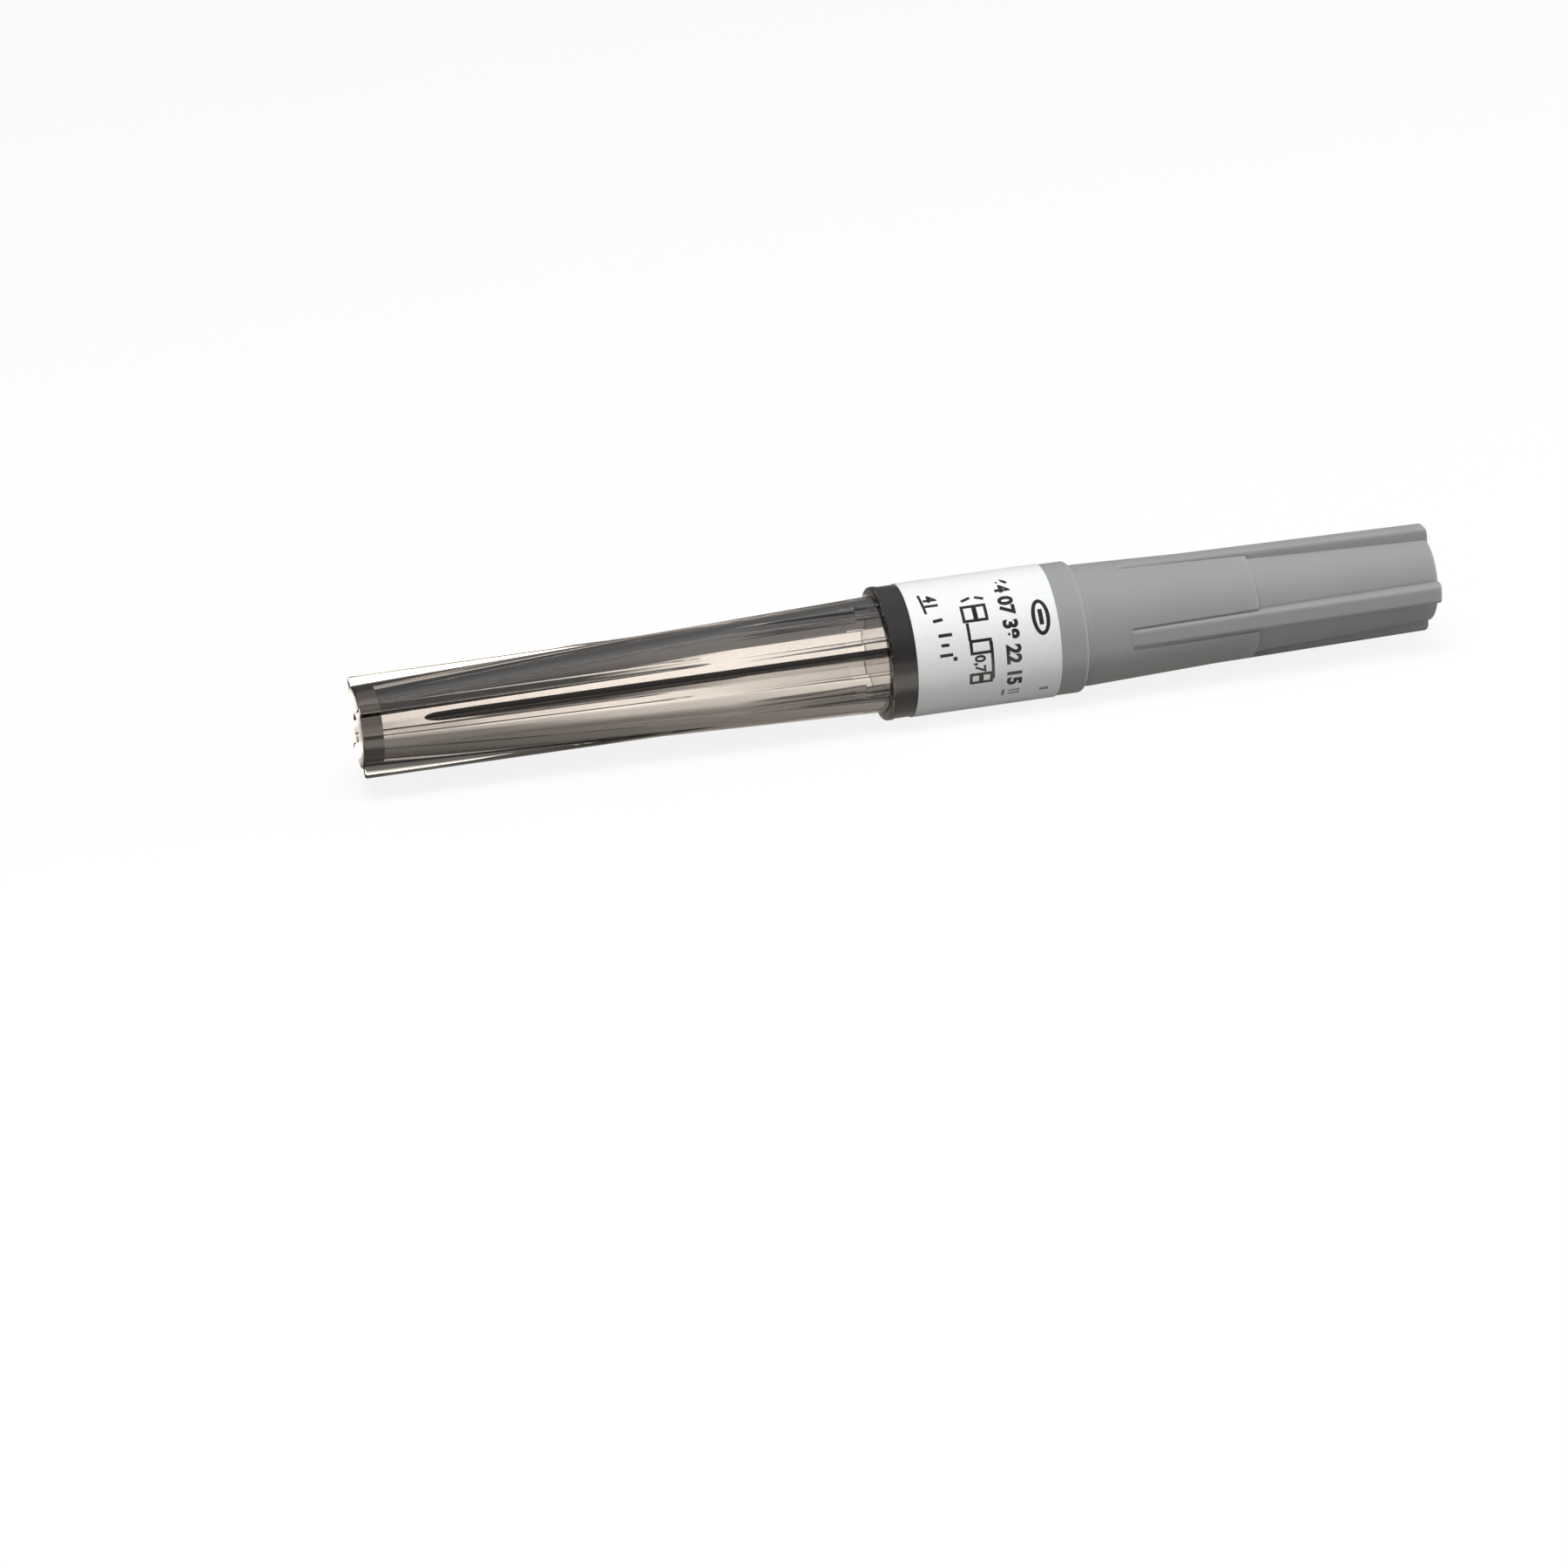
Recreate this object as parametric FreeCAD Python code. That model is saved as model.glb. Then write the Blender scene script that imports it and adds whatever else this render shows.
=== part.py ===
import FreeCAD, Part
import os

# A double-ended blood collection needle, sealed in its case as it is delivered.
# A smoky clear shield covers the long front needle, an opaque grey cap covers the
# rubber-sleeved rear needle, and a paper label is glued round their joint as the seal.
# The case lies level on its label. The needle's axis runs along +X, from the closed
# front tip to the rear end. +Z is up, and the origin is under the middle of the case.
# All sizes are in millimetres and all stations are measured from the front tip.

# cannula: one steel tube, ground to a point at both ends
cannula_radius = 0.36
cannula_wall = 0.155
exposed_length = 38.0
front_bevel_length = 3.5
rear_cannula_length = 15.5
rear_bevel_length = 1.6

# adhesive cone at the front of the hub, with a plug in the hub's glue well
adhesive_height = 1.5
adhesive_base_radius = 1.83
glue_well_radius = 1.1
glue_well_depth = 2.6

# hub: core, gripping wings, one interrupted thread turn, neck, rounded boss, spigot
hub_core_radius = 2.5
wing_count = 4
wing_height = 0.75
wing_width = 1.7
wing_setback = 0.25
wing_length = 3.0
thread_height = 1.2
thread_crest = 0.5
thread_base = 1.35
thread_turn = 1.0
thread_pitch = 2.1
thread_runout = 0.1
thread_break_width = 3.4
neck_length = 1.1
neck_radius = 2.2
boss_radius = 2.45
boss_length = 3.1
boss_edge = 0.7
nipple_radius = 0.95
nipple_length = 2.0

# rubber sleeve, closed at the rear, stretched over the hub's nipple
sleeve_overhang = 2.0
sleeve_flare_radius = 1.83
sleeve_flare_length = 1.6
sleeve_radius = 1.4
sleeve_bore_radius = 0.52
sleeve_end_wall = 1.3
sleeve_end_edge = 0.6

# shield: tapered barrel, four outer fins, inner ribs, collar
nose_wall = 1.7
needle_tip_gap = 3.3
collar_lead = 4.9
mouth_reach = 5.5
shield_bore_tip_radius = 1.8
shield_tip_wall = 1.3
shield_root_wall = 0.77
shield_fin_count = 4
shield_fin_height = 0.87
shield_fin_width = 0.72
shield_fin_roll = 50.0
shield_edge = 0.18
gate_radius = 1.1
gate_depth = 0.35
rib_count = 10
rib_width = 1.0
rib_height = 0.36
rib_step = 0.17
rib_step_lead = 1.6
rib_end_gap = 0.2
rib_roll = 10.0
bead_width = 0.5
bead_height = 0.07

# cap: spigot inside the shield's mouth, collar, shank, stepped tail, four fins
cap_collar_length = 4.85
cap_collar_edge = 0.3
spigot_length = 3.2
spigot_wall = 0.45
collar_wall = 0.7
shank_length = 13.6
shank_wall = 0.83
shank_taper = 0.45
tail_length = 14.5
tail_step = 0.35
tail_step_edge = 0.2
tail_taper = 0.5
tail_end_wall = 1.7
chamber_wall = 1.1
cap_fin_count = 4
cap_fin_setback = 3.45
cap_fin_width = 1.45
cap_fin_proud = 0.02
cap_fin_drop = 0.36
cap_fin_round = 0.3
groove_width = 0.2
groove_depth = 0.22
cap_end_edge = 0.25

# label: paper strip, wound once round both collars, its ends a small gap apart
label_setback = 2.0
label_length = 11.1
label_thickness = 0.08
label_gap = 0.5
label_gap_roll = 250.0

# clearances between pieces
cannula_clearance = 0.01
rib_clearance = 0.02
thread_clearance = 0.12
spigot_clearance = 0.03
joint_gap = 0.05
hub_end_clearance = 0.3

# stations along the axis, from the front tip
needle_tip_x = nose_wall + needle_tip_gap
adhesive_x = needle_tip_x + exposed_length
hub_x = adhesive_x + adhesive_height
wing_x = hub_x + wing_setback
thread_x = wing_x + wing_length + thread_runout
thread_span = thread_base + thread_turn * thread_pitch
neck_x = thread_x + thread_span + thread_runout
boss_x = neck_x + neck_length
hub_end_x = boss_x + boss_length
cannula_end_x = hub_end_x + rear_cannula_length
sleeve_end_x = cannula_end_x + sleeve_overhang
collar_x = hub_x - collar_lead
mouth_x = hub_x + mouth_reach
cap_x = mouth_x + joint_gap
cap_collar_end_x = cap_x + cap_collar_length
cap_fin_x = cap_collar_end_x + cap_fin_setback
tail_x = cap_collar_end_x + shank_length
end_x = tail_x + tail_length
spigot_x = cap_x - spigot_length
counterbore_x = spigot_x - joint_gap
rib_end_x = counterbore_x - rib_end_gap
rib_step_x = collar_x - rib_step_lead
chamber_x = hub_end_x + hub_end_clearance
chamber_end_x = end_x - tail_end_wall
label_x = collar_x + label_setback

# radii, worked outwards from the hub's core
wing_radius = hub_core_radius + wing_height
thread_radius = hub_core_radius + thread_height
rib_radius = wing_radius + rib_clearance
shield_bore_root_radius = rib_radius + rib_height
shield_root_radius = shield_bore_root_radius + shield_root_wall
shield_tip_radius = shield_bore_tip_radius + shield_tip_wall
shield_fin_radius = shield_tip_radius + shield_fin_height
cap_bore_radius = thread_radius + thread_clearance
spigot_radius = cap_bore_radius + spigot_wall
counterbore_radius = spigot_radius + spigot_clearance
collar_radius = counterbore_radius + collar_wall
bead_radius = collar_radius + bead_height
label_radius = collar_radius + label_thickness
shank_front_radius = cap_bore_radius + shank_wall
shank_rear_radius = shank_front_radius - shank_taper
tail_front_radius = shank_rear_radius - tail_step
tail_end_radius = tail_front_radius - tail_taper

# length added to cutting tools so that they pass clean through
overrun = 1.0

# largest share of a wall that an eased edge takes
largest_share = 0.9

axis_origin = FreeCAD.Vector(0, 0, 0)
axis_x = FreeCAD.Vector(1, 0, 0)


def along(x, x_start, value_start, x_end, value_end):
    """Value at station x on the straight line between two stations."""
    return value_start + (value_end - value_start) * (x - x_start) / (x_end - x_start)


def shield_bore_radius_at(x):
    return along(x, nose_wall, shield_bore_tip_radius, collar_x, shield_bore_root_radius)


def shank_radius_at(x):
    return along(x, cap_collar_end_x, shank_front_radius, tail_x, shank_rear_radius)


def turned(outline):
    """Solid turned about the axis from a closed outline of (station, radius) points."""
    points = [FreeCAD.Vector(x, 0, radius) for x, radius in outline]
    face = Part.Face(Part.makePolygon(points + points[:1]))
    return face.revolve(axis_origin, axis_x, 360)


def bar(outline, width):
    """Prism of (station, radius) outline, centred on the plane above the axis."""
    points = [FreeCAD.Vector(x, -width / 2, radius) for x, radius in outline]
    face = Part.Face(Part.makePolygon(points + points[:1]))
    return face.extrude(FreeCAD.Vector(0, width, 0))


def spaced_round(shape, count, roll=0.0):
    """Copies of a shape at equal angles about the axis, the first turned by roll."""
    copies = []
    for index in range(count):
        copy = shape.copy()
        copy.rotate(axis_origin, axis_x, roll + 360.0 * index / count)
        copies.append(copy)
    return copies


def fuse_all(shape, others):
    return shape.fuse(others).removeSplitter()


def fitted(size, wall):
    """Size of an eased edge, kept inside the wall that carries it."""
    return min(size, largest_share * wall)


def eased_corner(x, radius, size):
    """Outline points of a flat across a corner that faces outwards and rearwards."""
    return [(x - size, radius), (x, radius - size)]


def eased_crown(fin, size):
    """Round the edges round the outer face of an upright fin."""
    crown = max(fin.Faces, key=lambda face: face.CenterOfMass.z)
    return fin.makeFillet(size, crown.Edges)


def cannula():
    tube = turned([
        (needle_tip_x, cannula_radius - cannula_wall),
        (needle_tip_x, cannula_radius),
        (cannula_end_x, cannula_radius),
        (cannula_end_x, cannula_radius - cannula_wall),
    ])
    # each bevel takes away the wedge above a plane that leaves the point lowest
    low = -cannula_radius
    high = cannula_radius
    front_wedge = bar([
        (needle_tip_x - overrun, low),
        (needle_tip_x, low),
        (needle_tip_x + front_bevel_length, high),
        (needle_tip_x + front_bevel_length, high + overrun),
        (needle_tip_x - overrun, high + overrun),
    ], 4 * cannula_radius)
    rear_wedge = bar([
        (cannula_end_x + overrun, low),
        (cannula_end_x, low),
        (cannula_end_x - rear_bevel_length, high),
        (cannula_end_x - rear_bevel_length, high + overrun),
        (cannula_end_x + overrun, high + overrun),
    ], 4 * cannula_radius)
    return tube.cut([front_wedge, rear_wedge])


def hub_adhesive():
    return turned([
        (adhesive_x, cannula_radius),
        (hub_x, adhesive_base_radius),
        (hub_x, glue_well_radius),
        (hub_x + glue_well_depth, glue_well_radius),
        (hub_x + glue_well_depth, cannula_radius),
    ])


def thread_ridge():
    """One turn of a coarse ridge, broken on two opposite sides."""
    root = hub_core_radius - overrun / 2
    height = thread_turn * thread_pitch
    helix = Part.makeHelix(thread_pitch, height, root)
    outline = [
        FreeCAD.Vector(root, 0, -thread_base / 2),
        FreeCAD.Vector(hub_core_radius, 0, -thread_base / 2),
        FreeCAD.Vector(thread_radius, 0, -thread_crest / 2),
        FreeCAD.Vector(thread_radius, 0, thread_crest / 2),
        FreeCAD.Vector(hub_core_radius, 0, thread_base / 2),
        FreeCAD.Vector(root, 0, thread_base / 2),
    ]
    profile = Part.makePolygon(outline + outline[:1])
    ridge = Part.Wire(helix).makePipeShell([profile], True, True)
    ridge.rotate(axis_origin, FreeCAD.Vector(0, 1, 0), 90)
    ridge.translate(FreeCAD.Vector(thread_x + thread_base / 2, 0, 0))
    reach = thread_radius + overrun
    gap = Part.makeBox(
        thread_span + 2 * overrun, 2 * reach, thread_break_width,
        FreeCAD.Vector(thread_x - overrun, -reach, -thread_break_width / 2))
    return ridge.cut(gap)


def needle_hub():
    body = turned([
        (hub_x, 0),
        (hub_x, hub_core_radius),
        (neck_x, hub_core_radius),
        (neck_x, neck_radius),
        (boss_x, neck_radius),
        (boss_x, boss_radius),
        *eased_corner(hub_end_x, boss_radius, boss_edge),
        (hub_end_x, nipple_radius),
        (hub_end_x + nipple_length, nipple_radius),
        (hub_end_x + nipple_length, 0),
    ])
    wing = bar([
        (wing_x, 0),
        (wing_x, wing_radius),
        (wing_x + wing_length, wing_radius),
        (wing_x + wing_length, 0),
    ], wing_width)
    grip = turned([
        (wing_x, 0),
        (wing_x, wing_radius),
        (wing_x + wing_length, wing_radius),
        (wing_x + wing_length, 0),
    ])
    wings = [piece.common(grip) for piece in spaced_round(wing, wing_count)]
    body = fuse_all(body, wings + [thread_ridge()])
    glue_well = turned([
        (hub_x - overrun, 0),
        (hub_x - overrun, glue_well_radius),
        (hub_x + glue_well_depth, glue_well_radius),
        (hub_x + glue_well_depth, 0),
    ])
    hole_radius = cannula_radius + cannula_clearance
    hole = Part.makeCylinder(
        hole_radius, hub_end_x + nipple_length - hub_x + 2 * overrun,
        FreeCAD.Vector(hub_x - overrun, 0, 0), axis_x)
    return body.cut([glue_well, hole])


def rubber_sleeve():
    outer = turned([
        (hub_end_x, 0),
        (hub_end_x, sleeve_flare_radius),
        (hub_end_x + sleeve_flare_length, sleeve_radius),
        *eased_corner(sleeve_end_x, sleeve_radius, sleeve_end_edge),
        (sleeve_end_x, 0),
    ])
    bore = turned([
        (hub_end_x - overrun, 0),
        (hub_end_x - overrun, nipple_radius),
        (hub_end_x + nipple_length, nipple_radius),
        (hub_end_x + nipple_length, sleeve_bore_radius),
        (sleeve_end_x - sleeve_end_wall, sleeve_bore_radius),
        (sleeve_end_x - sleeve_end_wall, 0),
    ])
    return outer.cut(bore)


def shield_fin():
    """Fin that stands proud at the tip and sinks into the widening barrel."""
    sunk = shield_edge / 2
    taper = (shield_root_radius - shield_tip_radius) / collar_x
    sunk_x = (shield_fin_radius + sunk - shield_tip_radius) / taper
    fin = bar([
        (0, 0),
        (0, shield_fin_radius),
        (sunk_x, shield_fin_radius),
        (sunk_x, 0),
    ], shield_fin_width)
    return eased_crown(fin, shield_edge)


def shield_ribs():
    """Ribs on the bore, stepped back where they grip the hub's wings."""
    outer = counterbore_radius + overrun
    inner = rib_radius - rib_step
    sleeve = turned([
        (0, inner),
        (rib_step_x, inner),
        (rib_step_x, rib_radius),
        (rib_end_x, rib_radius),
        (rib_end_x, outer),
        (0, outer),
    ])
    blade = bar([
        (0, 0),
        (0, outer + overrun),
        (rib_end_x + overrun, outer + overrun),
        (rib_end_x + overrun, 0),
    ], rib_width)
    return [piece.common(sleeve) for piece in spaced_round(blade, rib_count, rib_roll)]


def front_shield():
    outer = turned([
        (0, 0),
        (0, shield_tip_radius - shield_edge),
        (shield_edge, shield_tip_radius),
        (collar_x, shield_root_radius),
        (collar_x, bead_radius - shield_edge),
        (collar_x + shield_edge, bead_radius),
        (collar_x + bead_width, bead_radius),
        (collar_x + bead_width, collar_radius),
        (mouth_x, collar_radius),
        (mouth_x, 0),
    ])
    outer = fuse_all(outer, spaced_round(shield_fin(), shield_fin_count, shield_fin_roll))
    cavity = turned([
        (nose_wall, 0),
        (nose_wall, shield_bore_tip_radius),
        (counterbore_x, shield_bore_radius_at(counterbore_x)),
        (counterbore_x, counterbore_radius),
        (mouth_x + overrun, counterbore_radius),
        (mouth_x + overrun, 0),
    ])
    cavity = cavity.cut(shield_ribs())
    gate = Part.makeCylinder(gate_radius, gate_depth, axis_origin, axis_x)
    return outer.cut([cavity, gate])


def cap_fin():
    fin = bar([
        (cap_fin_x, 0),
        (cap_fin_x, shank_radius_at(cap_fin_x) + cap_fin_proud),
        (end_x, shank_radius_at(cap_fin_x) + cap_fin_proud - cap_fin_drop),
        (end_x, 0),
    ], cap_fin_width)
    return eased_crown(fin, cap_fin_round)


def cap_channel():
    """Slot that leaves a narrow groove down both sides of a fin."""
    outer = collar_radius + overrun
    return bar([
        (cap_fin_x, shank_radius_at(cap_fin_x) - groove_depth),
        (tail_x, shank_rear_radius - groove_depth),
        (tail_x, tail_front_radius - groove_depth / 2),
        (end_x + overrun, tail_end_radius - groove_depth / 2),
        (end_x + overrun, outer),
        (cap_fin_x, outer),
    ], cap_fin_width + 2 * groove_width)


def rear_cap():
    collar_edge = fitted(cap_collar_edge, collar_radius - shank_front_radius)
    step_edge = fitted(tail_step_edge, tail_step)
    outer = turned([
        (spigot_x, 0),
        (spigot_x, spigot_radius),
        (cap_x, spigot_radius),
        (cap_x, collar_radius),
        *eased_corner(cap_collar_end_x, collar_radius, collar_edge),
        (cap_collar_end_x, shank_front_radius),
        *eased_corner(tail_x, shank_rear_radius, step_edge),
        (tail_x, tail_front_radius),
        *eased_corner(end_x, tail_end_radius, cap_end_edge),
        (end_x, 0),
    ])
    outer = outer.cut(spaced_round(cap_channel(), cap_fin_count))
    outer = fuse_all(outer, spaced_round(cap_fin(), cap_fin_count))
    cavity = turned([
        (spigot_x - overrun, 0),
        (spigot_x - overrun, cap_bore_radius),
        (chamber_x, cap_bore_radius),
        (chamber_x, tail_front_radius - chamber_wall),
        (tail_x, tail_front_radius - chamber_wall),
        (tail_x, tail_end_radius - chamber_wall),
        (chamber_end_x, tail_end_radius - chamber_wall),
        (chamber_end_x, 0),
    ])
    return outer.cut(cavity)


def seal_label():
    band = turned([
        (label_x, collar_radius),
        (label_x, label_radius),
        (label_x + label_length, label_radius),
        (label_x + label_length, collar_radius),
    ])
    gap = bar([
        (label_x - overrun, 0),
        (label_x - overrun, label_radius + overrun),
        (label_x + label_length + overrun, label_radius + overrun),
        (label_x + label_length + overrun, 0),
    ], label_gap)
    gap.rotate(axis_origin, axis_x, label_gap_roll)
    return band.cut(gap)


pieces = {
    "front_shield": front_shield,
    "rear_cap": rear_cap,
    "seal_label": seal_label,
    "needle_hub": needle_hub,
    "hub_adhesive": hub_adhesive,
    "cannula": cannula,
    "rubber_sleeve": rubber_sleeve,
}

os.makedirs("parts", exist_ok=True)
to_frame = FreeCAD.Vector(-end_x / 2, 0, label_radius)
for name, make in pieces.items():
    solid = make()
    solid.translate(to_frame)
    solid.exportStep("parts/" + name + ".step")
    print(name, len(solid.Solids), solid.isValid(), round(solid.Volume, 2))
print("length", round(end_x, 2), "collar radius", round(collar_radius, 3))
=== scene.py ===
import bpy
import bmesh
import math
from mathutils import Matrix, Vector


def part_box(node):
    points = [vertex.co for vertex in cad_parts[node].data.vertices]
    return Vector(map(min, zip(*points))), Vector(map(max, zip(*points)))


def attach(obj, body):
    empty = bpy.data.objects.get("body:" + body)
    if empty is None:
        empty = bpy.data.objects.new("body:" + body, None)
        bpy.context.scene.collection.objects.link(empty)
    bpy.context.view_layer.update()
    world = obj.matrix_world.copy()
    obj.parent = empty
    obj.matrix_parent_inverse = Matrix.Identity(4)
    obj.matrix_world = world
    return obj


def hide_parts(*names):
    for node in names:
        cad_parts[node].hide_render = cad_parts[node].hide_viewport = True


# A cased blood collection needle: smoky clear shield, grey cap, paper seal label.
# Stations run along +X in millimetres from the shield's closed tip.

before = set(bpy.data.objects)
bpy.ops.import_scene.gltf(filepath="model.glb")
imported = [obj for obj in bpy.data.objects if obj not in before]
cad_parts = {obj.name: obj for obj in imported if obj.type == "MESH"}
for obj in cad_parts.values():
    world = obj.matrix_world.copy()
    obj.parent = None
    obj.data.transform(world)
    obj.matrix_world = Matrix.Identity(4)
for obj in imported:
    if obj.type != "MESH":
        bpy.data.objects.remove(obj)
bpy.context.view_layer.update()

mm = 0.001
cameraRoll = 22.9        # degrees that the camera stands above the case's side
labelLow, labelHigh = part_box("seal_label")
axisHeight = (labelLow[2] + labelHigh[2]) / 2      # the needle's axis, above the surface
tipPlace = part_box("front_shield")[0][0]            # where station 0 lies along X


def linear(hexColour):
    # sRGB hex text to the linear colour that a shader takes
    values = []
    for start in (0, 2, 4):
        value = int(hexColour[start:start + 2], 16) / 255
        values.append(value / 12.92 if value <= 0.04045 else ((value + 0.055) / 1.055) ** 2.4)
    return (values[0], values[1], values[2], 1.0)


def addNode(tree, kind, settings=None, links=None):
    # one node, its sockets or options filled from settings, its inputs joined by links
    node = tree.nodes.new(kind)
    for key, value in (settings or {}).items():
        if isinstance(key, int) or key in node.inputs:
            node.inputs[key].default_value = value
        else:
            setattr(node, key, value)
    for key, source in (links or {}).items():
        tree.links.new(source, node.inputs[key])
    return node


def newMaterial(name):
    material = bpy.data.materials.new(name)
    material.use_nodes = True
    material.node_tree.nodes.clear()
    return material, material.node_tree


def place(station, across, up):
    # a point in the frame from a station and the two offsets from the axis, in millimetres
    return Vector((tipPlace + station * mm, across * mm, axisHeight + up * mm))


def smokyPolystyrene():
    # clear polystyrene tinted smoky brown, injection moulded in a polished tool:
    # glassy gloss, dark where the light is turned away, cream where it goes straight through
    material, tree = newMaterial("smokyPolystyrene")
    coords = addNode(tree, "ShaderNodeTexCoord")
    stretch = addNode(tree, "ShaderNodeMapping", {"Scale": (18, 900, 900)},
                      {"Vector": coords.outputs["Object"]})
    flow = addNode(tree, "ShaderNodeTexNoise", {"Scale": 1.0, "Detail": 2.0, "Roughness": 0.45},
                   {"Vector": stretch.outputs["Vector"]})       # melt flow lines about 1 mm apart
    flowBump = addNode(tree, "ShaderNodeBump", {"Strength": 0.03, "Distance": 0.00002},
                       {"Height": flow.outputs["Fac"]})
    clear = addNode(tree, "ShaderNodeBsdfPrincipled", {
        "Base Color": (1, 1, 1, 1), "Roughness": 0.015, "IOR": 1.59,
        "Transmission Weight": 1.0}, {"Normal": flowBump.outputs["Normal"]})
    tint = addNode(tree, "ShaderNodeVolumeAbsorption", {
        "Color": (0.24, 0.22, 0.215, 1), "Density": 640.0})    # per metre

    # the collar is left matt outside by the tool; its colour is painted near-black, painted shade for
    # the dim hub behind the wall; light that is already inside the wall still leaves through it
    grain = addNode(tree, "ShaderNodeTexNoise", {"Scale": 6000.0, "Detail": 2.0},
                    {"Vector": coords.outputs["Object"]})       # eroded steel, 0.15 mm grains
    grainBump = addNode(tree, "ShaderNodeBump", {"Strength": 0.2, "Distance": 0.000004},
                        {"Height": grain.outputs["Fac"]})
    # painted shade: the near-black collar colours, broken up by the tool's grain
    colour = addNode(tree, "ShaderNodeMix", {"data_type": "RGBA"}, {"Factor": grain.outputs["Fac"]})
    colour.inputs[6].default_value = linear("2b2829")
    colour.inputs[7].default_value = linear("343031")
    paintedCollarShade = addNode(tree, "ShaderNodeBsdfPrincipled", {
        "Roughness": 0.22, "IOR": 1.59, "Transmission Weight": 0.2}, {
        "Base Color": colour.outputs[2], "Normal": grainBump.outputs["Normal"]})
    onCollar = addNode(tree, "ShaderNodeAttribute", {"attribute_name": "onCollar"})
    side = addNode(tree, "ShaderNodeNewGeometry")
    collarShadeShare = addNode(tree, "ShaderNodeMath", {"operation": "SUBTRACT", "use_clamp": True}, {
        0: onCollar.outputs["Fac"], 1: side.outputs["Backfacing"]})
    surface = addNode(tree, "ShaderNodeMixShader", None, {
        0: collarShadeShare.outputs["Value"], 1: clear.outputs["BSDF"], 2: paintedCollarShade.outputs["BSDF"]})
    addNode(tree, "ShaderNodeOutputMaterial", None,
            {"Surface": surface.outputs["Shader"], "Volume": tint.outputs["Volume"]})
    return material


def greyPolypropylene():
    # grey pigmented polypropylene, injection moulded: waxy satin, light gets a little way in,
    # very fine spark texture from the tool and a faint mottle in the pigment
    material, tree = newMaterial("greyPolypropylene")
    coords = addNode(tree, "ShaderNodeTexCoord")
    mottle = addNode(tree, "ShaderNodeTexNoise", {"Scale": 260.0, "Detail": 3.0},
                     {"Vector": coords.outputs["Object"]})      # pigment clouds about 4 mm
    colour = addNode(tree, "ShaderNodeMix", {"data_type": "RGBA"}, {"Factor": mottle.outputs["Fac"]})
    colour.inputs[6].default_value = linear("979899")
    colour.inputs[7].default_value = linear("9fa0a1")
    grain = addNode(tree, "ShaderNodeTexNoise", {"Scale": 9000.0, "Detail": 2.0},
                    {"Vector": coords.outputs["Object"]})       # spark texture, 0.1 mm grains
    bump = addNode(tree, "ShaderNodeBump", {"Strength": 0.25, "Distance": 0.000004},
                   {"Height": grain.outputs["Fac"]})
    gloss = addNode(tree, "ShaderNodeMapRange", {"To Min": 0.36, "To Max": 0.46},
                    {"Value": mottle.outputs["Fac"]})
    shader = addNode(tree, "ShaderNodeBsdfPrincipled", {
        "IOR": 1.49, "Subsurface Weight": 0.12, "Subsurface Radius": (1.0, 1.0, 0.95),
        "Subsurface Scale": 0.0008}, {
        "Base Color": colour.outputs[2], "Roughness": gloss.outputs["Result"],
        "Normal": bump.outputs["Normal"]})
    addNode(tree, "ShaderNodeOutputMaterial", None, {"Surface": shader.outputs["BSDF"]})
    return material


def labelPaper():
    # white coated label paper: smooth calendered face with faint fibre cloudiness
    material, tree = newMaterial("labelPaper")
    coords = addNode(tree, "ShaderNodeTexCoord")
    fibre = addNode(tree, "ShaderNodeTexNoise", {"Scale": 2600.0, "Detail": 5.0, "Roughness": 0.6},
                    {"Vector": coords.outputs["Object"]})       # fibre clouds about 0.4 mm
    colour = addNode(tree, "ShaderNodeMix", {"data_type": "RGBA"}, {"Factor": fibre.outputs["Fac"]})
    colour.inputs[6].default_value = linear("eceeef")
    colour.inputs[7].default_value = linear("f6f7f7")
    bump = addNode(tree, "ShaderNodeBump", {"Strength": 0.2, "Distance": 0.000006},
                   {"Height": fibre.outputs["Fac"]})
    shader = addNode(tree, "ShaderNodeBsdfPrincipled", {
        "Roughness": 0.42, "IOR": 1.5, "Coat Weight": 0.15, "Coat Roughness": 0.25}, {
        "Base Color": colour.outputs[2], "Normal": bump.outputs["Normal"]})
    addNode(tree, "ShaderNodeOutputMaterial", None, {"Surface": shader.outputs["BSDF"]})
    return material


def labelBackShade():
    # the label's glued back, matt and coloured dark: painted shade for the dim inside of the collar
    # that the clear wall looks into
    material, tree = newMaterial("labelBackShade")
    coords = addNode(tree, "ShaderNodeTexCoord")
    cloud = addNode(tree, "ShaderNodeTexNoise", {"Scale": 700.0, "Detail": 3.0},
                    {"Vector": coords.outputs["Object"]})       # glue clouds about 1.5 mm
    # painted shade: the dark colours of the label's back
    colour = addNode(tree, "ShaderNodeMix", {"data_type": "RGBA"}, {"Factor": cloud.outputs["Fac"]})
    colour.inputs[6].default_value = linear("35322f")
    colour.inputs[7].default_value = linear("423f3b")
    shader = addNode(tree, "ShaderNodeBsdfPrincipled", {"Roughness": 0.6, "IOR": 1.5},
                     {"Base Color": colour.outputs[2]})
    addNode(tree, "ShaderNodeOutputMaterial", None, {"Surface": shader.outputs["BSDF"]})
    return material


def blackInk():
    # black thermal transfer print: flat, slightly glossy, a little worn and uneven
    material, tree = newMaterial("blackInk")
    coords = addNode(tree, "ShaderNodeTexCoord")
    wear = addNode(tree, "ShaderNodeTexNoise", {"Scale": 3500.0, "Detail": 3.0},
                   {"Vector": coords.outputs["Object"]})        # uneven ink, 0.3 mm patches
    colour = addNode(tree, "ShaderNodeMix", {"data_type": "RGBA"}, {"Factor": wear.outputs["Fac"]})
    colour.inputs[6].default_value = linear("141417")
    colour.inputs[7].default_value = linear("2b2b30")
    shader = addNode(tree, "ShaderNodeBsdfPrincipled", {"Roughness": 0.35, "IOR": 1.5},
                     {"Base Color": colour.outputs[2]})
    addNode(tree, "ShaderNodeOutputMaterial", None, {"Surface": shader.outputs["BSDF"]})
    return material


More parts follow.
